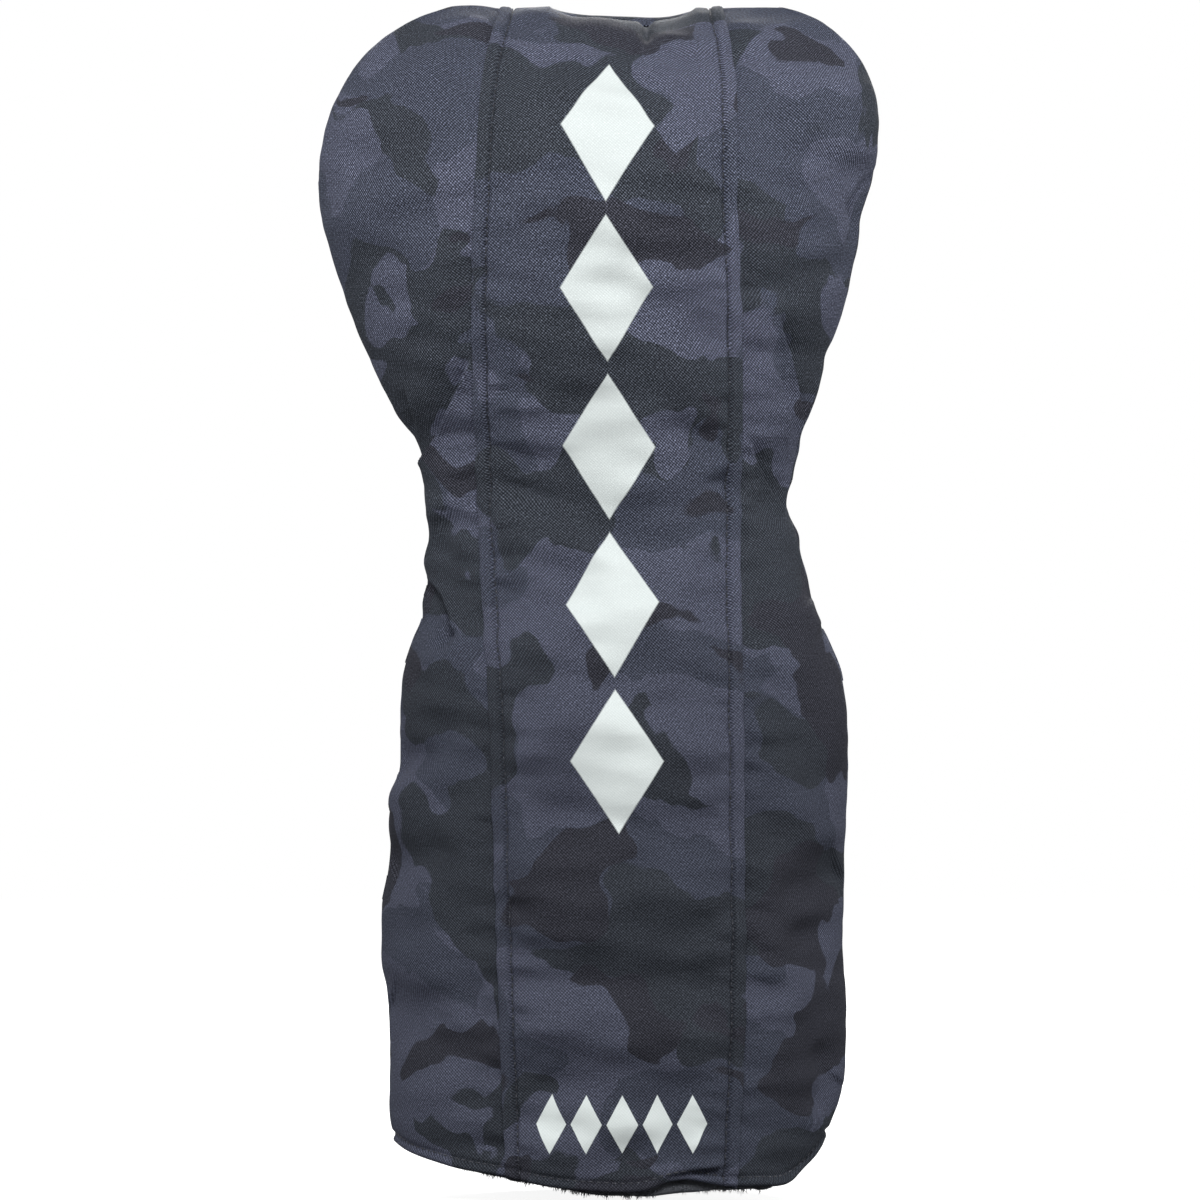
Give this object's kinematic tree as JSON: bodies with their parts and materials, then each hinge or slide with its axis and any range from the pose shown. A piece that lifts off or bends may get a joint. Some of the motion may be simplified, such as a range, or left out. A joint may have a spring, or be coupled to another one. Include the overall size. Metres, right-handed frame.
{
  "type": "golf driver head cover",
  "caption": "Padded fabric sock that pulls over a golf driver's head, with a round head, an elastic neck and a long sleeve open at the hem.",
  "frame": {"origin": "centre of the hem's rest plane, under the middle of the cover's bounding box", "axes": "+Z from the hem to the top seam, -Y out of the front panel, +X to the right of someone facing the front"},
  "size_m": [0.1626, 0.104, 0.35],
  "materials": {
    "camouflage_twill": "woven polyester twill printed with a navy and grey camouflage",
    "padding": "soft foam",
    "fleece": "short dark fleece",
    "elastic": "knitted elastic"
  },
  "bodies": {
    "root": {"front_centre_panel": "camouflage_twill", "front_left_panel": "camouflage_twill", "front_right_panel": "camouflage_twill", "back_centre_panel": "camouflage_twill", "back_left_panel": "camouflage_twill", "back_right_panel": "camouflage_twill", "front_centre_padding": "padding", "front_left_padding": "padding", "front_right_padding": "padding", "back_centre_padding": "padding", "back_left_padding": "padding", "back_right_padding": "padding", "front_centre_lining": "fleece", "front_left_lining": "fleece", "front_right_lining": "fleece", "back_centre_lining": "fleece", "back_left_lining": "fleece", "back_right_lining": "fleece", "neck_elastic": "elastic"}
  },
  "joints": []
}
